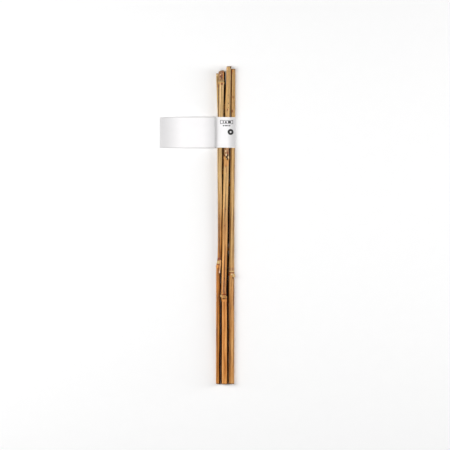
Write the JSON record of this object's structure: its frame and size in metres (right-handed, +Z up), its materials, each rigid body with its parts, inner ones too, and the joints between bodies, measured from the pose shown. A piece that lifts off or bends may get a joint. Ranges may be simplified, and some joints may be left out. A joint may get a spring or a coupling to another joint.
{
  "type": "bundle of bamboo garden canes",
  "caption": "Bundle of short bamboo garden canes held by a folded paper band with a flag, lying on its side.",
  "frame": {"origin": "centre of the bounding box in plan, on the surface the bundle lies on", "axes": "+Z up, +Y along the canes towards their uneven tops, -X towards the free edge of the paper flag"},
  "size_m": [0.1423, 0.5998, 0.0221],
  "materials": {
    "cane_left": "dried bamboo, satin",
    "cane_middle": "dried bamboo, satin",
    "cane_right": "dried bamboo, satin",
    "cane_back": "dried bamboo, satin",
    "cane_inner": "dried bamboo, satin, darkened",
    "label": "coated paper, semi-matt"
  },
  "bodies": {
    "root": {"cane_left": "cane_left", "cane_middle": "cane_middle", "cane_right": "cane_right", "cane_back": "cane_back", "cane_inner": "cane_inner", "label": "label"}
  },
  "joints": []
}
